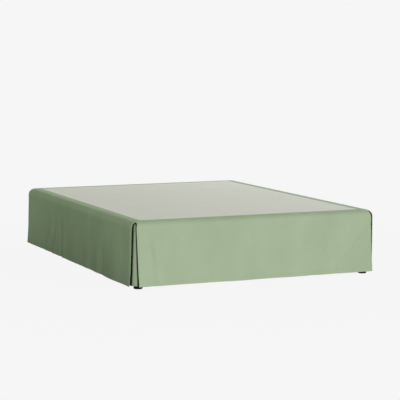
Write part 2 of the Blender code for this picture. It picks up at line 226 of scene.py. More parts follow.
# The deck dips between the slats, lies a little lower than the border's top inside its edges,
# and has faint ripples, up to a limit.
DECK_SAG = 0.0007
DECK_SAG_FADE = 0.05
DECK_LOWER = 0.0005
DECK_LOWER_FADE = 0.02
RIPPLES = 46
RIPPLE_LENGTHS = (0.08, 0.3)
RIPPLE_WIDTHS = (0.012, 0.03)
RIPPLE_SHARES = (0.1, 0.35)
RIPPLE_HEIGHT = 0.001
RIPPLE_LIMIT = 0.00045
RIPPLE_FADE = 0.03

# Seeds of the small creases, the flaps' waves and the deck's ripples.
PANEL_SEED = 11
FLAP_SEED = 50
DECK_SEED = 70

# ---- mesh fineness ----
# Rows of a panel: steps in from the border's cut edge, counts on the border and on the rounded
# edge, shares of the arch's height, and heights above the hem.
SHOWN_PITCH = 0.0085
BORDER_STEPS = (0.0, 0.0001, 0.0004, 0.0009, 0.0016, 0.0030, 0.0060)
BORDER_REST = 0.0100
BORDER_ROWS = 5
APEX_ROWS = 9
ARCH_SHARES = (0.005, 0.02, 0.05, 0.10, 0.17, 0.27, 0.40, 0.55, 0.75, 1.0)
EDGE_ROWS = 7
HEM_HEIGHTS = (0.0490, 0.0410, 0.0340, 0.0290, 0.0264, 0.0252, 0.0240, 0.0228, 0.0220, 0.0212,
               0.0200, 0.0170, 0.0130, 0.0090, 0.0050, 0.0028, 0.0016, 0.0009, 0.0004, 0.0001, 0.0)

# Columns at a panel's ends: steps in from its edge, and how the later ones grow.
END_ZONE = 0.100
END_STEPS = (0.0, 0.0001, 0.0004, 0.0009, 0.0016, 0.0028, 0.0050, 0.0080, 0.0102, 0.0110,
             0.0118, 0.0126, 0.0138, 0.0160)
END_COLUMNS = 12
END_GROWTH = 1.25

# Rows and columns of a flap, as for a panel.
FLAP_PITCH = 0.0045
FLAP_SIDE_STEPS = (0.0, 0.0001, 0.0003, 0.0006, 0.0012, 0.0025)
FLAP_TOP_STEPS = (0.0, 0.0001, 0.0003, 0.0006, 0.0012)
FLAP_TOP_REST = 0.003
FLAP_EDGE_ROWS = 12
FLAP_FALL_ROWS = 40
FLAP_HEM_ZONE = 0.030
FLAP_HEM_HEIGHTS = (0.0280, 0.0264, 0.0252, 0.0240, 0.0228, 0.0220, 0.0212, 0.0200, 0.0160,
                    0.0100, 0.0050, 0.0026, 0.0014, 0.0008, 0.0004, 0.0001, 0.0)

DECK_PITCH = 0.0125
DECK_STEPS = (0.0, 0.0001, 0.0003, 0.0006, 0.0012, 0.0030, 0.0070)


# ---- cloth shape ----

def ease(value):
    """Rise smoothly from 0 to 1."""
    value = np.clip(value, 0.0, 1.0)
    return value * value * (3 - 2 * value)


def rounding(distance, radius):
    """Share of a cloth's half thickness that is there at a distance from its edge."""
    inside = 1 - np.clip(np.asarray(distance) / radius, 0.0, 1.0)
    return np.sqrt(np.clip(1 - inside * inside, 0.0, 1.0))


def near(distance, width):
    """A soft bump, 1 at distance 0 and faded out at the width."""
    return (1 + np.cos(np.pi * np.clip(np.abs(distance) / width, 0.0, 1.0))) / 2


def hemmed(distance, hem):
    """1 inside a turned hem and 0 past its inner edge."""
    return 1 - ease((distance - hem) / HEM_STEP)


def panel_depths():
    """Depths of a panel's rows, from the border's inner edge, which is under 0, to the hem."""
    border = -(BORDER - EDGE_RADIUS)
    rows = [border + step for step in BORDER_STEPS]
    rows += list(np.linspace(border + BORDER_REST, 0.0, BORDER_ROWS))
    rows += list(np.linspace(0.0, APEX_DEPTH, APEX_ROWS)[1:])
    rows += [APEX_DEPTH + ARCH_HEIGHT * share for share in ARCH_SHARES]
    rows += list(np.linspace(APEX_DEPTH + ARCH_HEIGHT, EDGE_LENGTH, EDGE_ROWS)[1:])
    bottom = EDGE_LENGTH + FALL_LENGTH
    steps = round((FALL_LENGTH - HEM_HEIGHTS[0]) / SHOWN_PITCH)
    rows += list(np.linspace(EDGE_LENGTH, bottom - HEM_HEIGHTS[0], steps + 1)[1:])
    rows += [bottom - rise for rise in HEM_HEIGHTS[1:]]
    return np.array(rows)[:, None]


def edge_steps():
    """Distances of the end columns from a panel's edge."""
    start = END_STEPS[-1]
    far = start + (END_ZONE - start) * np.linspace(0.0, 1.0, END_COLUMNS)[1:] ** END_GROWTH
    return np.array(list(END_STEPS) + list(far))


def row_frame(depths):
    """Offset, height, slope angle and fall of each depth of the skirt's outer face."""
    angle = np.clip(depths / EDGE_RADIUS, 0.0, QUARTER)
    offset = np.where(depths < 0, -EDGE_RADIUS + depths, -EDGE_RADIUS * (1 - np.sin(angle)))
    below = np.clip(depths - EDGE_LENGTH, 0.0, None)
    height = TOP_Z - EDGE_RADIUS * (1 - np.cos(angle)) - below
    return offset, height, angle, below / FALL_LENGTH


def corner_radii(depths, offset):
    """Radius of the plan's corner at each depth: the border's corner sharpens inwards."""
    on_border = (EDGE_RADIUS - CORNER_RADIUS) * (offset + BORDER) / (EDGE_RADIUS - BORDER)
    return np.where(depths < 0, on_border, CORNER_RADIUS + offset)


def setbacks(lip, depths):
    """Distance of a panel's edge from the mitre at each depth."""
    below = depths - APEX_DEPTH
    share = 1 - np.clip(below / ARCH_HEIGHT, 0.0, 1.0)
    curved = SEAM_GAP + (lip.arch - SEAM_GAP) * (1 - share * share) ** ARCH_POWER
    whole = EDGE_LENGTH + FALL_LENGTH - APEX_DEPTH - ARCH_HEIGHT
    straight = lip.arch + (lip.hem - lip.arch) * (below - ARCH_HEIGHT) / whole
    return np.where(below < ARCH_HEIGHT, curved, straight)


def squeezed(steps, width):
    """End-zone distances fitted to the width that a row has there, true near the edge."""
    slope = END_ZONE / width
    share = steps / END_ZONE
    return width * slope * share / (1 + (slope - 1) * share)


def in_plan(side, along, out):
    """World x and y of a point given along and out from a side's middle."""
    turn = QUARTER * side.turns
    x = along * math.cos(turn) + out * math.sin(turn)
    y = along * math.sin(turn) - out * math.cos(turn)
    return x, y


def main_folds(side, path, fall):
    """Sum of a side's folds at the points of its drop."""
    total = np.zeros(np.broadcast(path, fall).shape)
    for fold in FOLDS:
        if fold.side == side.name:
            centre = fold.place + fold.lean * (1 - fall)
            envelope = ease((fall - fold.start) / FOLD_RISE) * (1 - (1 - fold.hem) * ease(fall))
            total += fold.depth * near(path - centre, fold.width / 2) * envelope
    return total


def small_creases(side, path, drop):
    """Shallow creases of many sizes, mostly upright, a little denser towards the ends."""
    draw = np.random.default_rng(PANEL_SEED + side.turns)
    total = np.zeros(path.shape)
    for _ in range(round(2 * side.half_run * CREASES_PER_METRE)):
        share = abs(draw.uniform(-1, 1)) ** CREASE_CROWDING
        place = side.half_run * math.copysign(share, draw.uniform(-1, 1))
        level = draw.uniform(CREASE_HIGHEST, FALL_LENGTH)
        length = draw.uniform(*CREASE_LENGTHS)
        width = draw.uniform(*CREASE_WIDTHS)
        lean = draw.normal(0.0, CREASE_LEAN)
        depth = CREASE_DEPTH * draw.uniform(*CREASE_SHARES)
        up = (drop - level) / length
        across = (path - place - lean * (drop - level)) / width
        total += depth * np.exp(-up * up * 2.0 - across * across * 2.0)
    return total


def panel_columns(side, depths, radius, straight):
    """Distances of the start's and the end's columns from their mitres, and the middle's places."""
    reach = side.half_run - END_ZONE
    ends = []
    for corner in (side.start, side.end):
        back = setbacks(LIPS[side.name, corner], depths)
        width = straight - reach + radius * EIGHTH - back
        ends.append(back + squeezed(edge_steps(), width))
    middle = np.linspace(-reach, reach, round(2 * reach / SHOWN_PITCH) + 1)[1:-1]
    return ends[0], np.tile(middle, (len(depths), 1)), ends[1]


def bent_end(distance, sign, lip, depths, radius, straight):
    """Place along, turn of the cloth, loss of depth and path of the points of a panel's end."""
    freed = ease((depths - APEX_DEPTH) / BEND_DEPTH)
    bend = 1 - (1 - lip.bend) * freed
    whole = np.clip(EIGHTH - distance / np.maximum(radius, 1e-9), 0.0, None)
    arc = radius / bend
    along = np.where(whole > 0, straight + arc * np.sin(bend * whole),
                     straight - (distance - radius * EIGHTH))
    path = np.where(whole > 0, straight + whole * CORNER_RADIUS, along)
    return sign * along, sign * bend * whole, arc * (1 - np.cos(bend * whole)), sign * path


def panel_surface(side, depths):
    """Outer points of a panel, their paths, and their distances from its start and end edges."""
    offset, height, angle, fall = row_frame(depths)
    radius = corner_radii(depths, offset)
    straight = np.where(depths < 0, side.half_run + offset - radius, side.half_run - CORNER_RADIUS)
    start_lip, end_lip = LIPS[side.name, side.start], LIPS[side.name, side.end]
    start, middle, end = panel_columns(side, depths, radius, straight)
    before = bent_end(start, -1, start_lip, depths, radius, straight)
    after = bent_end(end[:, ::-1], 1, end_lip, depths, radius, straight)
    flat = np.zeros_like(middle)
    along, turn, lost, path = (np.concatenate(parts, axis=1)
                               for parts in zip(before, (middle, flat, flat, middle), after))
    out = side.half_depth + offset - lost

    first = np.full(path.shape, END_ZONE)
    first[:, :start.shape[1]] = start - setbacks(start_lip, depths)
    last = np.full(path.shape, END_ZONE)
    last[:, -end.shape[1]:] = (end - setbacks(end_lip, depths))[:, ::-1]

    share = np.clip(0.5 + path / (2 * side.half_run), 0.0, 1.0)
    push = (start_lip.kick + (end_lip.kick - start_lip.kick) * share) * fall ** KICK_POWER
    push = push + main_folds(side, path, fall)
    opened = ease((depths - APEX_DEPTH) / FLARE_DEPTH)
    push = push + FLARE * opened * (near(first, FLARE_WIDTH) + near(last, FLARE_WIDTH))
    drop = np.clip(depths - EDGE_LENGTH, 0.0, None) + 0 * path
    soft = ease((depths - CREASE_START) / CREASE_FADE)
    push = push + soft * small_creases(side, path, drop)

    along = along + push * np.sin(turn) * np.sin(angle)
    out = out + push * np.cos(turn) * np.sin(angle)
    x, y = in_plan(side, along, out)
    z = height + push * np.cos(angle)
    return np.stack([x, y, z], axis=-1), path, first, last


# ---- meshes ----

def closed_grid(outer, inner):
    """Corners and faces of two grids of points that meet along their rims."""
    rows, columns = outer.shape[:2]
    front = np.arange(rows * columns).reshape(rows, columns)
    back = front.copy()
    count = (rows - 2) * (columns - 2)
    back[1:-1, 1:-1] = rows * columns + np.arange(count).reshape(rows - 2, columns - 2)
    points = np.concatenate([outer.reshape(-1, 3), inner[1:-1, 1:-1].reshape(-1, 3)])

    def quads(index, flip):
        corners = [index[:-1, :-1], index[1:, :-1], index[1:, 1:], index[:-1, 1:]]
        if flip:
            corners.reverse()
        return np.stack(corners, axis=-1).reshape(-1, 4)

    return points, np.concatenate([quads(front, False), quads(back, True)])


def normals(points):
    """Outward unit normals of a grid whose rows run down the cloth."""
    down = np.gradient(points, axis=0)
    along = np.gradient(points, axis=1)
    across = np.cross(down, along)
    return across / np.maximum(np.linalg.norm(across, axis=2, keepdims=True), 1e-12)


def unit(vectors):
    return vectors / np.linalg.norm(vectors, axis=-1, keepdims=True)


def smooth_piece(name, points, faces):
    """A new smooth mesh object in the scene."""
    mesh = bpy.data.meshes.new(name)
    mesh.from_pydata(points.tolist(), [], faces)
    mesh.shade_smooth()
    piece = bpy.data.objects.new(name, mesh)
    bpy.context.scene.collection.objects.link(piece)
    return piece


def add_values(mesh, name, kind, field, values):
    """Give each point of a mesh a named value, for the materials."""
    layer = mesh.attributes.new(name, kind, "POINT")
    layer.data.foreach_set(field, values.astype(np.float32).ravel())


def thick_sheet(name, points, facing, thickness, rim, weave, shade):
    """Close a grid of outer points into cloth: rim is 0 at its edges and 1 inside them."""
    rim[0, :] = rim[-1, :] = 0.0
    rim[:, 0] = rim[:, -1] = 0.0
    half = thickness / 2
    outer = points - facing * (half * (1 - rim))[..., None]
    inner = points - facing * (half * (1 + rim))[..., None]
    vertices, faces = closed_grid(outer, inner)
    piece = smooth_piece(name, vertices, faces.tolist())
    both = np.concatenate([weave.reshape(-1, 3), weave[1:-1, 1:-1].reshape(-1, 3)])
    # Each point's share of painted shade goes to the material with the sheet.
    shades = np.concatenate([shade.reshape(-1), shade[1:-1, 1:-1].reshape(-1)])
    add_values(piece.data, "weave", "FLOAT_VECTOR", "vector", both)
    add_values(piece.data, "painted_shade", "FLOAT", "value", shades)
    piece.data.validate()
    return piece, outer


def stitch_row(outer, facing, heights, level, edge, clear):
    """The row of points nearest a level, as far as it is clear of the edges."""
    row = int(np.argmin(np.abs(heights[:, 1] - level)))
    keep = edge[row] > clear
    return outer[row, keep], facing[row, keep]


def stitch_rings(line, facing):
    """Sections of the stitches along a line: each is a thin spindle bowed out of the cloth."""
    length = np.concatenate([[0.0], np.cumsum(np.linalg.norm(np.diff(line, axis=0), axis=1))])
    count = int((length[-1] - 2 * STITCH_MARGIN) / STITCH_PITCH)
    starts = STITCH_MARGIN + np.arange(count) * STITCH_PITCH
    at = starts[:, None] + np.linspace(0, STITCH_LENGTH, len(STITCH_SWELL))[None, :]
    centre = np.stack([np.interp(at, length, line[:, k]) for k in range(3)], axis=-1)
    up = np.stack([np.interp(at, length, facing[:, k]) for k in range(3)], axis=-1)
    ahead = unit(centre[:, -1:] - centre[:, :1])
    beside = unit(np.cross(up, ahead))
    centre = centre + up * STITCH_BOW[None, :, None]
    angles = np.arange(STITCH_SIDES) * 2 * math.pi / STITCH_SIDES
    around = (up[:, :, None, :] * np.cos(angles)[None, None, :, None]
              + beside[:, :, None, :] * np.sin(angles)[None, None, :, None])
    return centre[:, :, None, :] + STITCH_RADIUS * STITCH_SWELL[None, :, None, None] * around


def build_stitches(name, lines):
    """One piece of all the stitches along some lines of points and their facings."""
    points, faces, base = [], [], 0
    for line, facing in lines:
        rings = stitch_rings(line, facing)
        index = base + np.arange(rings[..., 0].size).reshape(rings.shape[:3])
        following = np.roll(index, -1, axis=2)
        walls = np.stack([index[:, :-1], following[:, :-1], following[:, 1:], index[:, 1:]], axis=-1)
        faces += walls.reshape(-1, 4).tolist()
        faces += index[:, 0, ::-1].tolist()
        faces += index[:, -1].tolist()
        points.append(rings.reshape(-1, 3))
        base += len(points[-1])
    return smooth_piece(name, np.concatenate(points), faces)


# ---- the skirt's pieces ----

def build_panel(side):
    """One side of the skirt: a border on top, a rounded edge and a hemmed drop."""
    depths = panel_depths()
    points, path, first, last = panel_surface(side, depths)
    depth = depths + 0 * path
    rise = EDGE_LENGTH + FALL_LENGTH - depth
    inner = depth + (BORDER - EDGE_RADIUS)
    edge = np.minimum(first, last)
    open_edge = ease((depth - APEX_DEPTH) / ARCH_HEIGHT)

    hem = np.maximum(hemmed(rise, HEM_DEPTH), open_edge * hemmed(edge, SIDE_HEM))
    thickness = PLY + (HEM_PLIES - PLY) * hem
    half = thickness / 2
    rim = rounding(first, half) * rounding(last, half) * rounding(rise, half) * rounding(inner, half)
    # Painted shade darkens the panel's colour in the stitch grooves and along the seams.
    groove = near(rise - HEM_STITCH, HEM_GROOVE) * (edge > SIDE_STITCH)
    groove = np.maximum(groove, open_edge * near(edge - SIDE_STITCH, SIDE_GROOVE))
    seam = np.maximum((1 - open_edge) * near(edge, SEAM_WIDTH), near(inner, SEAM_WIDTH))
    shade = np.clip(np.maximum(groove, SEAM_SHADE * seam), 0.0, 1.0)
    facing = normals(points)
    points = points - facing * (GROOVE_DEPTH * groove)[..., None]
    weave = np.stack([path, -depth, np.zeros_like(path)], axis=-1)
    sheet, outer = thick_sheet("skirt_" + side.name, points, facing, thickness, rim, weave, shade)

    lines = [stitch_row(outer, facing, rise, HEM_STITCH, edge, SIDE_STITCH - STITCH_OVERLAP),
             stitch_row(outer, facing, inner, BORDER_STITCH, edge, BORDER_STITCH)]
    below_arch = depth[:, 1] > APEX_DEPTH + ARCH_HEIGHT
    keep = below_arch & (rise[:, 1] > HEM_STITCH + STITCH_CLEAR)
    column = int(np.argmin(np.abs(edge_steps() - SIDE_STITCH)))
    for place in (column, -1 - column):
        lines.append((outer[keep, place], facing[keep, place]))
    return sheet, build_stitches("stitches_" + side.name, lines)


def pocket_shade(lip_before, lip_after, depth, distance):
    """Depth of the painted shade in a flap's colour: full inside the pockets, faded out between the
    edges.
    """
    past_before = setbacks(lip_before, depth) + distance
    past_after = setbacks(lip_after, depth) - distance
    lit = 1.0 + 0 * distance * depth
    for past, lead, fade in zip((past_before, past_after), POCKET_LEADS, POCKET_FADES):
        lit = lit * ease((past + lead) / fade) ** POCKET_POWER
    return 1 - lit * ease((depth - APEX_DEPTH) / ARCH_FADE)


def flap_depths():
    """Depths of a flap's rows, from its top edge down to its hem."""
    top = FLAP_TOP_ANGLE * EDGE_RADIUS
    rows = np.concatenate([top + np.array(FLAP_TOP_STEPS),
                           np.linspace(top + FLAP_TOP_REST, EDGE_LENGTH, FLAP_EDGE_ROWS)])
    fallen = np.concatenate([np.linspace(0, FLAP_FALL - FLAP_HEM_ZONE, FLAP_FALL_ROWS)[1:],
                             FLAP_FALL - np.array(FLAP_HEM_HEIGHTS)])
    return np.concatenate([rows, EDGE_LENGTH + fallen])[:, None]


def flap_distances():
    """Distances of a flap's columns from the mitre, under 0 on the side before it."""
    count = round(FLAP_REACH / FLAP_PITCH)
    even = FLAP_REACH * np.linspace(-1, 1, 2 * count + 1)
    close = FLAP_REACH - np.array(FLAP_SIDE_STEPS)
    return np.unique(np.round(np.concatenate([even, close, -close]), 6))[None, :]


def flap_waves(seed, distance, fall):
    """Faint upright waves that grow towards a flap's hem."""
    draw = np.random.default_rng(seed)
    waves = np.zeros(np.broadcast(fall, distance).shape)
    for _ in range(WAVES):
        place = draw.uniform(-WAVE_REACH, WAVE_REACH)
        width = draw.uniform(*WAVE_WIDTHS)
        depth = draw.uniform(*WAVE_DEPTHS)
        lean = draw.normal(0, WAVE_LEAN)
        waves += depth * near(distance - place - lean * fall, width) * fall
    return waves


def flap_surface(before, after, depth, distance):
    """Outer points of a flap, which turns from the side before a corner to the one after."""
    angle = np.clip(depth / EDGE_RADIUS, 0.0, QUARTER)
    share = np.clip((angle - FLAP_TOP_ANGLE) / (QUARTER - FLAP_TOP_ANGLE), 0.0, 1.0)
    inward = PANEL_SOLID + FLAP_TOP_GAP + (FLAP_GAP - FLAP_TOP_GAP) * share ** LEAVE_POWER
    radius = EDGE_RADIUS - inward
    below = np.clip(depth - EDGE_LENGTH, 0.0, None)
    fall = below / FLAP_FALL
    offset = radius * np.sin(angle) - EDGE_RADIUS + FLAP_KICK * fall ** KICK_POWER
    height = TOP_Z - EDGE_RADIUS + radius * np.cos(angle) - below
    turned = EIGHTH - np.clip(np.abs(distance) / CORNER_RADIUS, 0.0, EIGHTH)
    spin = CORNER_RADIUS + offset
    waves = flap_waves(FLAP_SEED + after.turns, distance, fall)
    past_arc = np.clip(np.abs(distance) - CORNER_RADIUS * EIGHTH, 0.0, None)
    points = np.zeros(waves.shape + (3,))
    for side, sign, mask in ((before, 1, distance[0] <= 0), (after, -1, distance[0] > 0)):
        along = side.half_run - CORNER_RADIUS + spin * np.sin(turned) - past_arc
        out = side.half_depth - CORNER_RADIUS + spin * np.cos(turned)
        x, y = in_plan(side, sign * (along + waves * np.sin(turned)), out + waves * np.cos(turned))
        points[:, mask] = np.stack([x, y, height + 0 * x], axis=-1)[:, mask]
    return points


def build_flap(before, after):
    """The flap behind a kick pleat, one sheet bent round the corner."""
    depth = flap_depths()
    distance = flap_distances()
    points = flap_surface(before, after, depth, distance)
    rise = EDGE_LENGTH + FLAP_FALL - depth + 0 * distance
    start = depth - FLAP_TOP_ANGLE * EDGE_RADIUS + 0 * distance
    edge = FLAP_REACH - np.abs(distance) + 0 * depth

    thickness = PLY + (HEM_PLIES - PLY) * FLAP_HEM_SHARE * hemmed(rise, HEM_DEPTH)
    half = thickness / 2
    rim = rounding(edge, half) * rounding(rise, half) * rounding(start, half)
    groove = near(rise - HEM_STITCH, HEM_GROOVE)
    facing = normals(points)
    points = points - facing * (GROOVE_DEPTH * groove)[..., None]
    weave = np.stack([distance + 0 * depth, -depth + 0 * distance, np.ones_like(rise)], axis=-1)
    # Painted shade: the flap's colour darkens in the pleat's pockets and under the arch's top.
    shade = pocket_shade(LIPS[before.name, before.end], LIPS[after.name, after.start], depth, distance)
    sheet, outer = thick_sheet("pleat_" + after.start, points, facing, thickness, rim, weave, shade)

    row = int(np.argmin(np.abs(rise[:, 0] - HEM_STITCH)))
    line = (outer[row, 2:-2], facing[row, 2:-2])
    return sheet, build_stitches("stitches_" + after.start, [line])


def deck_places(half):
    """Places of the deck's rows or columns, from one cut edge to the other."""
    close = np.array(DECK_STEPS)
    count = round(2 * (half - DECK_PITCH) / DECK_PITCH)
    middle = np.linspace(-half + DECK_PITCH, half - DECK_PITCH, count + 1)
    return np.concatenate([-half + close, middle, half - close[::-1]])


def deck_ripples(half_x, half_y, x, y):
    """Faint ripples of a flat sheet, in all directions."""
    draw = np.random.default_rng(DECK_SEED)
    ripple = np.zeros(x.shape)
    for _ in range(RIPPLES):
        centre_x = draw.uniform(-half_x, half_x)
        centre_y = draw.uniform(-half_y, half_y)
        turn = draw.uniform(0, math.pi)
        length = draw.uniform(*RIPPLE_LENGTHS)
        width = draw.uniform(*RIPPLE_WIDTHS)
        along = (x - centre_x) * math.cos(turn) + (y - centre_y) * math.sin(turn)
        across = -(x - centre_x) * math.sin(turn) + (y - centre_y) * math.cos(turn)
        height = draw.uniform(*RIPPLE_SHARES) * RIPPLE_HEIGHT
        ripple += height * np.exp(-2 * (along / length) ** 2 - 2 * (across / width) ** 2)
    return np.minimum(ripple, RIPPLE_LIMIT)


def build_deck():
    """The flat sheet between the borders, sagging a little between the slats."""
    inset = BORDER + SEAM_GAP
    half_x, half_y = HALF_WIDTH - inset, HALF_LENGTH - inset
    x, y = np.meshgrid(deck_places(half_x), -deck_places(half_y))
    edge_x, edge_y = half_x - np.abs(x), half_y - np.abs(y)
    edge = np.minimum(edge_x, edge_y)
    on_slat = np.cos(math.pi * (y / SLAT_PITCH)) ** 2
    sag = DECK_SAG * (1 - on_slat) * ease(edge / DECK_SAG_FADE)
    ripple = deck_ripples(half_x, half_y, x, y) * ease(edge / RIPPLE_FADE)
    z = TOP_Z - DECK_LOWER * ease(edge / DECK_LOWER_FADE) - sag + ripple
    thickness = np.full(x.shape, SHEETING)
    rim = rounding(edge_x, SHEETING / 2) * rounding(edge_y, SHEETING / 2)
    weave = np.stack([x, y, np.full(x.shape, 2.0)], axis=-1)
    # Painted shade darkens the deck's colour along its edge seam.
    shade = near(edge, DECK_SEAM_WIDTH)
    points = np.stack([x, y, z], axis=-1)
    return thick_sheet("deck_sheet", points, normals(points), thickness, rim, weave, shade)[0]


# ---- materials ----

class Shade:
    """A node material in short form."""

    def __init__(self, name):
        self.material = bpy.data.materials.new(name)
        self.material.use_nodes = True
        self.tree = self.material.node_tree
        self.shader = self.tree.nodes["Principled BSDF"]

    def node(self, kind, links=None, **settings):
        made = self.tree.nodes.new("ShaderNode" + kind)
        for key, value in settings.items():
            setattr(made, key, value)
        for key, value in (links or {}).items():
            self.put(made.inputs[key], value)
        return made

    def put(self, socket, value):
        if isinstance(value, bpy.types.NodeSocket):
            self.tree.links.new(value, socket)
        else:
            socket.default_value = value

    def set(self, **inputs):
        for key, value in inputs.items():
            self.put(self.shader.inputs[key.replace("_", " ")], value)

    def math(self, operation, a, b=0.0):
        return self.node("Math", {0: a, 1: b}, operation=operation).outputs[0]

    def add(self, a, b):
        return self.math("ADD", a, b)

    def take(self, a, b):
        return self.math("SUBTRACT", a, b)

    def times(self, a, b):
        return self.math("MULTIPLY", a, b)

    def mix(self, share, a, b):
        made = self.node("Mix", {0: share, 6: a, 7: b}, data_type="RGBA")
        return made.outputs[2]

    def noise(self, vector, scale=1.0, detail=2.0, roughness=0.5):
        made = self.node("TexNoise", {"Vector": vector, "Scale": scale, "Detail": detail,
                                      "Roughness": roughness})
        return made.outputs["Fac"]

    def stretched(self, vector, scale):
        return self.node("Mapping", {"Vector": vector, "Scale": scale}).outputs["Vector"]

    def span(self, value, low, high, to_low=0.0, to_high=1.0, **settings):
        made = self.node("MapRange", {"Value": value, "From Min": low, "From Max": high,
                                      "To Min": to_low, "To Max": to_high}, **settings)
        return made.outputs["Result"]

    def own_place(self):
        return self.node("TexCoord").outputs["Object"]

    def bump(self, height, strength, distance):
        made = self.node("Bump", {"Strength": strength, "Distance": distance, "Height": height})
        self.set(Normal=made.outputs["Normal"])

    def glow(self, colour, strength):
        return self.node("Emission", {"Color": colour, "Strength": strength}).outputs[0]

    def show(self, surface):
        self.tree.links.new(surface, self.tree.nodes["Material Output"].inputs["Surface"])


def scaled(colour, factor=1.0):
    """An opaque colour, darker or lighter by a factor."""
    return tuple(min(1.0, channel * factor) for channel in colour) + (1.0,)


SAGE = (0.350, 0.445, 0.289)
SAGE_SHEEN = (0.80, 1.0, 0.74)
SAGE_THREAD = (0.36, 0.46, 0.30)
THREAD_SHADE = 0.82

# Cloths: colour, thread pitch, size of the slubs across and along, strength of the mottle,
# sheen weight and tint, height of the weave, share and colour of the painted shade in grooves,
# seams and pleat pockets, and gloss.
Cloth = namedtuple("Cloth", "colour pitch slub mottle sheen tint relief shade deep gloss")
SKIRT_CLOTH = Cloth(SAGE, 0.0011, (0.0018, 0.045), 0.065, 0.04, SAGE_SHEEN, 0.00035,
                    0.35, (0.28, 0.36, 0.23), 0.25)
# The flap takes its painted shade at full strength, in a near black green.
FLAP_CLOTH = SKIRT_CLOTH._replace(sheen=0.0, shade=1.0, deep=(0.013, 0.028, 0.006), gloss=0.05)
DECK_CLOTH = Cloth((0.76, 0.745, 0.69), 0.0007, (0.0009, 0.030), 0.018, 0.04, (1.0, 1.0, 1.0),
                   0.00020, 0.35, (0.62, 0.60, 0.55), 0.25)
SHEEN_ROUGHNESS = 0.5


def cloth_material(name, cloth):
    """Woven cotton: a fine twill, uneven threads, a broad soft mottle, a faint sheen, and painted
    shade that darkens the colour where the sheet marks it.
    """
    m = Shade(name)
    place = m.node("Attribute", attribute_name="weave").outputs["Vector"]
    painted_shade = m.node("Attribute", attribute_name="painted_shade").outputs["Fac"]
    split = m.node("SeparateXYZ", {0: place})
    u, v = split.outputs[0], split.outputs[1]

    waver = cloth.pitch * 0.6
    wobble = m.span(m.noise(place, scale=40.0), 0.0, 1.0, -waver, waver)
    diagonal = m.add(m.add(u, m.times(v, 0.8)), wobble)
    rib = m.math("SINE", m.times(diagonal, 2 * math.pi / cloth.pitch))
    counter = m.take(u, m.times(v, 1.25))
    cross = m.math("SINE", m.times(counter, 2 * math.pi / (cloth.pitch * 0.62)))

    across, along = 1.0 / cloth.slub[0], 1.0 / cloth.slub[1]
    warp = m.noise(m.stretched(place, (across, along, 1.0)), detail=3.0, roughness=0.6)
    weft = m.noise(m.stretched(place, (along, across, 1.0)), detail=3.0, roughness=0.6)
    threads = m.add(m.times(warp, 0.5), m.times(weft, 0.5))
    broad = m.noise(m.stretched(place, (5.0, 3.4, 1.0)), detail=3.0, roughness=0.55)
    fine = m.noise(place, scale=900.0)

    light = scaled(cloth.colour, 1 + cloth.mottle)
    tone = m.add(m.times(broad, 0.55), m.times(threads, 0.45))
    base = m.mix(m.span(tone, 0.36, 0.64), scaled(cloth.colour, 1 - cloth.mottle), light)
    rib_tone = m.add(m.times(rib, 0.5), 0.5)
    base = m.mix(m.times(rib_tone, 0.10), base, light)
    # Painted shade: the colour darkens towards the shade colour by each point's share.
    base = m.mix(m.times(painted_shade, cloth.shade), base, scaled(cloth.deep))
    m.set(Base_Color=base, Roughness=m.span(threads, 0.3, 0.7, 0.84, 0.94))
    m.set(Sheen_Weight=cloth.sheen, Sheen_Roughness=SHEEN_ROUGHNESS, Sheen_Tint=scaled(cloth.tint))
    m.set(Specular_IOR_Level=cloth.gloss)

    height = m.add(m.times(rib, 0.35), m.times(cross, 0.15))
    height = m.add(height, m.times(fine, 0.5))
    height = m.add(height, m.times(threads, 1.6))
    m.bump(height, strength=0.5, distance=cloth.relief)
    return m.material


def thread_material(name, colour):
    """Twisted sewing thread."""
    m = Shade(name)
    twist = m.noise(m.own_place(), scale=1600.0)
    m.set(Base_Color=m.mix(twist, scaled(colour, THREAD_SHADE), scaled(colour)))
    m.set(Roughness=0.62, Specular_IOR_Level=0.35)
    m.bump(twist, strength=0.4, distance=0.0001)
    return m.material


PINE_EARLY = (0.70, 0.50, 0.30, 1.0)
PINE_LATE = (0.47, 0.27, 0.115, 1.0)
PINE_FIBRE = (0.82, 0.64, 0.42, 1.0)
PINE_KNOT = (0.20, 0.095, 0.04, 1.0)
RINGS_STRETCH = 0.055
FIBRES_ACROSS = 320.0
FIBRES_ALONG = 7.0
KNOTS = 8.5

# A timber's heart lies a little off its middle, in one of five places across the grain, and
# each timber is cut from another length of the tree.
HEART_START = 0.02
HEART_STEP = 0.013
HEART_PLACES = 5
CUT_LENGTH = 0.37


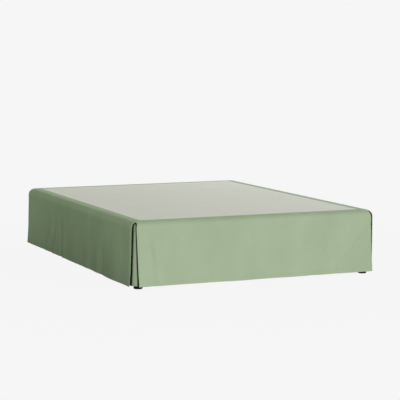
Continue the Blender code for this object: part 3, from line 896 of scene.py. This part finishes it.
def pine_material(name, axis, shift):
    """Planed pine with its grain along an axis: growth rings, fibres, pores and a few knots."""
    m = Shade(name)
    moved = m.node("Mapping", {"Vector": m.own_place(), "Location": shift}).outputs["Vector"]
    along = [1.0, 1.0, 1.0]
    along[axis] = RINGS_STRETCH
    grain = m.stretched(moved, tuple(along))
    bend = m.noise(grain, scale=7.0, roughness=0.45)
    waver = m.node("CombineXYZ", {0: m.times(bend, 0.07), 1: m.times(bend, 0.05),
                                  2: m.times(bend, 0.06)}).outputs[0]
    warped = m.node("VectorMath", {0: grain, 1: waver}, operation="ADD").outputs[0]
    rings = m.node("TexWave", {"Vector": warped, "Scale": 38.0, "Distortion": 2.2, "Detail": 2.0,
                               "Detail Scale": 1.4}, wave_type="RINGS", rings_direction="XYZ"[axis])
    late = m.span(rings.outputs["Fac"], 0.45, 1.0)
    fine = [FIBRES_ACROSS] * 3
    fine[axis] = FIBRES_ALONG
    fibres = m.noise(m.stretched(moved, tuple(fine)), detail=3.0, roughness=0.6)
    cells = m.node("TexVoronoi", {"Vector": m.stretched(moved, tuple(a * KNOTS for a in along)),
                                  "Scale": 1.0, "Randomness": 1.0}).outputs["Distance"]
    knot = m.span(cells, 0.05, 0.13, 1.0, 0.0)
    wood = m.mix(late, PINE_EARLY, PINE_LATE)
    wood = m.mix(m.times(fibres, 0.30), wood, PINE_FIBRE)
    wood = m.mix(m.times(knot, 0.75), wood, PINE_KNOT)
    m.set(Base_Color=wood, Roughness=m.span(fibres, 0.2, 0.8, 0.48, 0.66), Specular_IOR_Level=0.4)
    m.bump(m.add(m.times(late, 0.6), m.times(fibres, 0.6)), strength=0.35, distance=0.0004)
    return m.material


BLACK = (0.004, 0.004, 0.0045, 1.0)
SCUFFED = (0.03, 0.03, 0.029, 1.0)
SCUFF_HEIGHT = 0.008


def plastic_material(name):
    """Moulded black plastic, finely grained and scuffed grey towards the floor."""
    m = Shade(name)
    place = m.own_place()
    grain = m.noise(place, scale=1400.0)
    scuff = m.noise(place, scale=90.0, detail=4.0, roughness=0.65)
    height = m.node("SeparateXYZ", {0: place}).outputs[2]
    worn = m.times(m.span(scuff, 0.52, 0.72), m.span(height, 0.0, SCUFF_HEIGHT, 0.3, 0.0))
    m.set(Base_Color=m.mix(worn, BLACK, SCUFFED))
    m.set(Roughness=m.span(scuff, 0.3, 0.7, 0.50, 0.66), Specular_IOR_Level=0.15)
    m.bump(grain, strength=0.3, distance=0.0002)
    return m.material


# ---- putting it together ----

def finish_sheet(sheet, stitches, cloth, thread, node):
    sheet.data.materials.append(cloth)
    stitches.data.materials.append(thread)
    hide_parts(node)
    for piece in (sheet, stitches):
        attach(piece, "root")


def dress_skirt():
    """Each side's panel, and the flap of the pleat at its start corner."""
    skirt = cloth_material("sage_twill", SKIRT_CLOTH)
    flap = cloth_material("sage_twill_flap", FLAP_CLOTH)
    thread = thread_material("sage_thread", SAGE_THREAD)
    for index, side in enumerate(SIDES):
        sheet, stitches = build_panel(side)
        finish_sheet(sheet, stitches, skirt, thread, "panel_" + side.name)
        sheet, stitches = build_flap(SIDES[index - 1], side)
        finish_sheet(sheet, stitches, flap, thread, "kick_" + side.start)


def dress_deck():
    deck = build_deck()
    deck.data.materials.append(cloth_material("plain_sheeting", DECK_CLOTH))
    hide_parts("deck")
    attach(deck, "root")


def timber_material(name, number):
    """Pine with its grain along a timber's length, and rings of its own."""
    low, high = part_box(name)
    axis = max(range(3), key=lambda k: high[k] - low[k])
    centre = (low + high) / 2
    shift = [HEART_STEP * (number % HEART_PLACES) - centre[k] + HEART_START for k in range(3)]
    shift[axis] = CUT_LENGTH * number
    return pine_material("pine_" + name, axis, tuple(shift))


def dress_base():
    """Wood grain along each timber, and black plastic on the glides."""
    for number, name in enumerate(sorted(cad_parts)):
        if name.startswith("glide"):
            material = plastic_material("black_plastic_" + name)
        elif name.startswith(("post", "rail", "ledger", "slat", "centre")):
            material = timber_material(name, number)
        else:
            continue
        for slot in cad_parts[name].material_slots:
            slot.material = material


# ---- floor, light and camera ----

PALE = (0.9216, 0.9216, 0.9216, 1.0)
FLOOR_RADIUS = 60.0
FLOOR_SIDES = 96
BACKDROP_RADIUS = 62.0

# The floor shows a faint shadow near the bed, which fades out between these distances.
FLOOR_MATTE = 0.02
FLOOR_GREY = (0.80, 0.80, 0.80, 1.0)
SHADOW_FADE = (1.3, 3.2)

# Soft light from all around: its colour, and its strength up to the horizon and straight above.
AMBIENT_COLOUR = (0.87, 1.0, 0.80)
SKY_LOW = 0.36
SKY_HIGH = 0.30

# Light that the floor sends up: none close beside the bed and behind it, rising to its far
# strength over a reach that is short at the corners. In front of the foot end it starts at the
# hem's strength and falls to the front's over the fade.
BOUNCE_NEAR = 0.0
BOUNCE_FAR = 0.42
BOUNCE_REACH = 1.3
BOUNCE_CORNER = 0.25
BOUNCE_SPREAD = 1.1
BOUNCE_HEM = 0.46
BOUNCE_FRONT = 0.34
BOUNCE_START = 0.03
BOUNCE_FADE = 0.8
BOUNCE_LEVEL = -0.001

KEY_COLOUR = (1.10, 1.0, 1.15)
WHITE = (1.0, 1.0, 1.0)
Lamp = namedtuple("Lamp", "name place target size power colour")
LAMPS = (
    Lamp("key", (14.28, -16.86, 5.52), (0.0, -1.0, 0.2), (9.0, 7.0), 1182.0, KEY_COLOUR),
    Lamp("front", (-2.42, -12.39, 3.1), (0.0, -1.0, 0.2), (5.0, 4.0), 772.0, KEY_COLOUR),
    Lamp("side", (-10.31, 1.68, 2.79), (-0.8, 0.0, 0.2), (6.0, 4.0), 15.0, WHITE),
    Lamp("back", (4.29, 4.59, 3.7), (0.0, 0.3, 0.2), (3.0, 2.0), 240.0, WHITE),
)

CAMERA_PLACE = (-3.6495, -8.7642, 1.4238)
CAMERA_TILT = 83.703
CAMERA_TURN = -23.016
CAMERA_LENS = 133.33
CAMERA_SENSOR = 36.0


def made_thing(name, material, hidden_from):
    """Name and dress the object that was just made, and hide it from some kinds of rays."""
    thing = bpy.context.object
    thing.name = name
    thing.data.materials.append(material)
    for ray in hidden_from:
        setattr(thing, "visible_" + ray, False)
    return thing


def round_floor(name, material, hidden_from):
    bpy.ops.mesh.primitive_circle_add(vertices=FLOOR_SIDES, radius=FLOOR_RADIUS, fill_type="NGON")
    return made_thing(name, material, hidden_from)


def shown_floor():
    """A pale floor with a faint shadow, and a backdrop of the same tone."""
    m = Shade("pale_floor")
    far = m.node("VectorMath", {0: m.own_place()}, operation="LENGTH").outputs["Value"]
    share = m.span(far, *SHADOW_FADE, FLOOR_MATTE, 0.0)
    matte = m.node("BsdfDiffuse", {"Color": FLOOR_GREY}).outputs[0]
    m.show(m.node("MixShader", {0: share, 1: m.glow(PALE, 1.0), 2: matte}).outputs[0])
    all_but_seen = ("diffuse", "glossy", "transmission", "shadow")
    floor = round_floor("floor", m.material, all_but_seen)

    m = Shade("pale_backdrop")
    m.show(m.glow(PALE, 1.0))
    bpy.ops.mesh.primitive_uv_sphere_add(segments=48, ring_count=24, radius=BACKDROP_RADIUS)
    dome = made_thing("backdrop", m.material, all_but_seen)


def bounce_floor():
    """Light that the floor sends up, less of it close to the bed than in front of its foot."""
    m = Shade("bounce")
    split = m.node("SeparateXYZ", {0: m.own_place()})
    x, y = split.outputs[0], split.outputs[1]
    beside = m.take(m.math("ABSOLUTE", x), HALF_WIDTH)
    behind = m.take(y, HALF_LENGTH)
    from_corner = m.math("MAXIMUM", m.take(HALF_LENGTH, m.math("ABSOLUTE", y)), 0.0)
    spread = m.add(m.times(from_corner, BOUNCE_SPREAD), BOUNCE_CORNER)
    reach = m.math("MINIMUM", spread, BOUNCE_REACH)
    around = m.span(m.math("MAXIMUM", beside, behind), 0.0, reach, BOUNCE_NEAR, BOUNCE_FAR,
                    interpolation_type="SMOOTHSTEP")
    ahead = m.take(-HALF_LENGTH, y)
    in_front = m.times(m.span(ahead, 0.0, BOUNCE_START),
                       m.span(ahead, BOUNCE_START, BOUNCE_FADE, BOUNCE_HEM, BOUNCE_FRONT))
    m.show(m.glow(AMBIENT_COLOUR + (1.0,), m.math("MAXIMUM", around, in_front)))
    all_but_soft_light = ("camera", "glossy", "transmission", "shadow")
    floor = round_floor("floor_bounce", m.material, all_but_soft_light)
    floor.location.z = BOUNCE_LEVEL


def area_light(lamp):
    data = bpy.data.lights.new(lamp.name, "AREA")
    data.shape = "RECTANGLE"
    data.size, data.size_y = lamp.size
    data.energy = lamp.power
    data.color = lamp.colour
    light = bpy.data.objects.new(lamp.name, data)
    bpy.context.scene.collection.objects.link(light)
    light.location = lamp.place
    direction = Vector(np.subtract(lamp.target, lamp.place))
    light.rotation_mode = "QUATERNION"
    light.rotation_quaternion = direction.to_track_quat("-Z", "Y")


def soft_sky():
    """A world whose soft light weakens a little from the horizon up."""
    world = bpy.data.worlds.new("soft_studio")
    bpy.context.scene.world = world
    world.use_nodes = True
    tree = world.node_tree
    tree.nodes.clear()
    out = tree.nodes.new("ShaderNodeOutputWorld")
    sky = tree.nodes.new("ShaderNodeBackground")
    place = tree.nodes.new("ShaderNodeTexCoord")
    split = tree.nodes.new("ShaderNodeSeparateXYZ")
    level = tree.nodes.new("ShaderNodeMapRange")
    level.inputs["To Min"].default_value = SKY_LOW
    level.inputs["To Max"].default_value = SKY_HIGH
    sky.inputs["Color"].default_value = AMBIENT_COLOUR + (1.0,)
    tree.links.new(place.outputs["Generated"], split.inputs[0])
    tree.links.new(split.outputs[2], level.inputs["Value"])
    tree.links.new(level.outputs["Result"], sky.inputs["Strength"])
    tree.links.new(sky.outputs[0], out.inputs["Surface"])


def place_camera():
    """The camera stands off the bed's near corner, a little above it."""
    data = bpy.data.cameras.new("camera")
    data.sensor_width = CAMERA_SENSOR
    data.lens = CAMERA_LENS
    camera = bpy.data.objects.new("camera", data)
    bpy.context.scene.collection.objects.link(camera)
    camera.location = CAMERA_PLACE
    camera.rotation_euler = (math.radians(CAMERA_TILT), 0.0, math.radians(CAMERA_TURN))
    bpy.context.scene.camera = camera
    bpy.context.scene.view_settings.view_transform = "Standard"


place_camera()
soft_sky()
for lamp in LAMPS:
    area_light(lamp)
shown_floor()
bounce_floor()
dress_skirt()
dress_deck()
dress_base()
